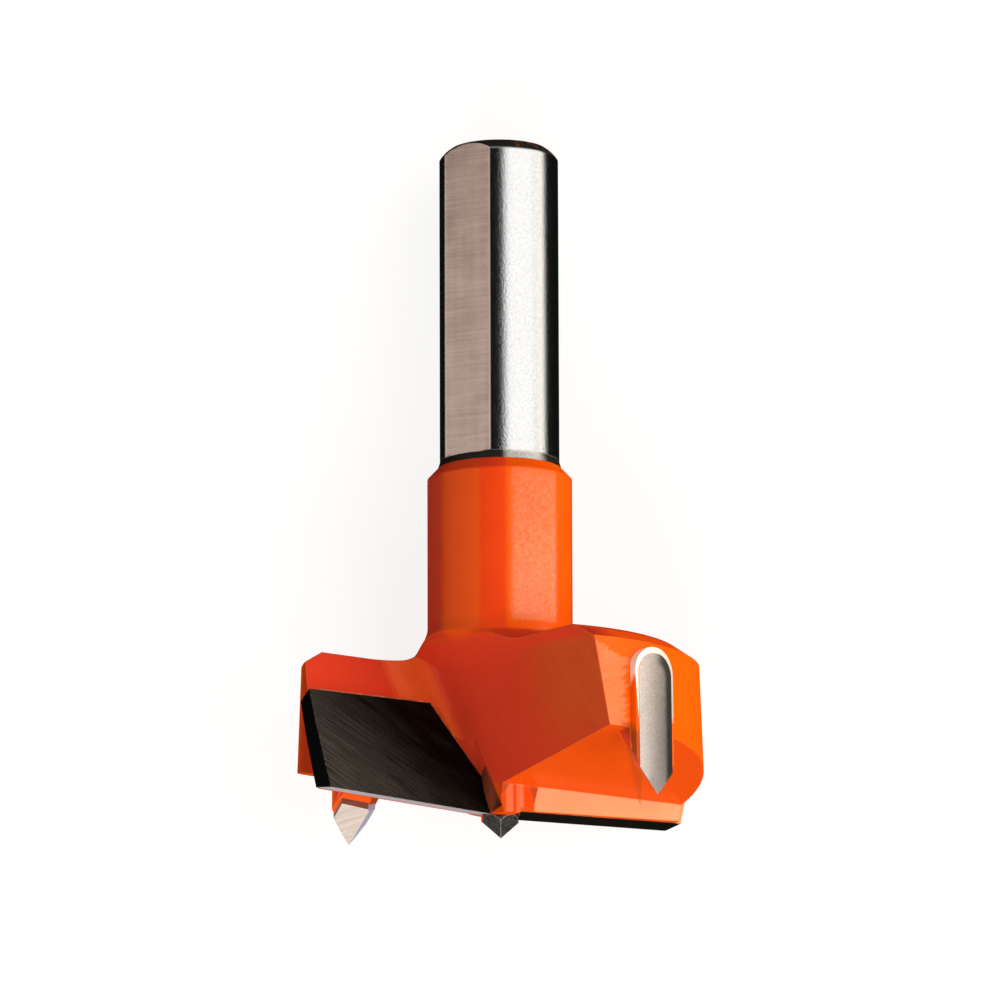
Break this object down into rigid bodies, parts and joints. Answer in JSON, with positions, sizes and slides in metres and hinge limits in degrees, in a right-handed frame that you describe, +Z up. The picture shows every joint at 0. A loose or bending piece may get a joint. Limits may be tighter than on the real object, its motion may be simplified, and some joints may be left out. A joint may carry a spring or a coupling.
{
  "type": "hinge boring bit",
  "caption": "Hinge boring bit: a painted two-winged head with brazed carbide edges, scoring spurs and a centre point, on a ground shank with a driving flat.",
  "frame": {"origin": "under the middle of the bit where it lies on the floor", "axes": "+Z up, +Y along the bit from the head towards the shank, +X to the right"},
  "size_m": [0.0336, 0.0586, 0.0277],
  "materials": {
    "body": "smooth red-orange enamel on head and neck, bare ground steel shank",
    "plate_carbide": "dark carbide with fine diagonal grinding lines",
    "spur_carbide": "ground grey carbide",
    "point_carbide": "ground dark carbide",
    "screw_steel": "black oxide",
    "braze": "dull brazing metal"
  },
  "bodies": {
    "root": {"body": "body", "centre_point": "point_carbide", "length_screw": "screw_steel", "cutter_plate_1": "plate_carbide", "cutter_plate_2": "plate_carbide", "cutter_braze_1": "braze", "cutter_braze_2": "braze", "spur_1": "spur_carbide", "spur_2": "spur_carbide", "spur_braze_1": "braze", "spur_braze_2": "braze"}
  },
  "joints": []
}
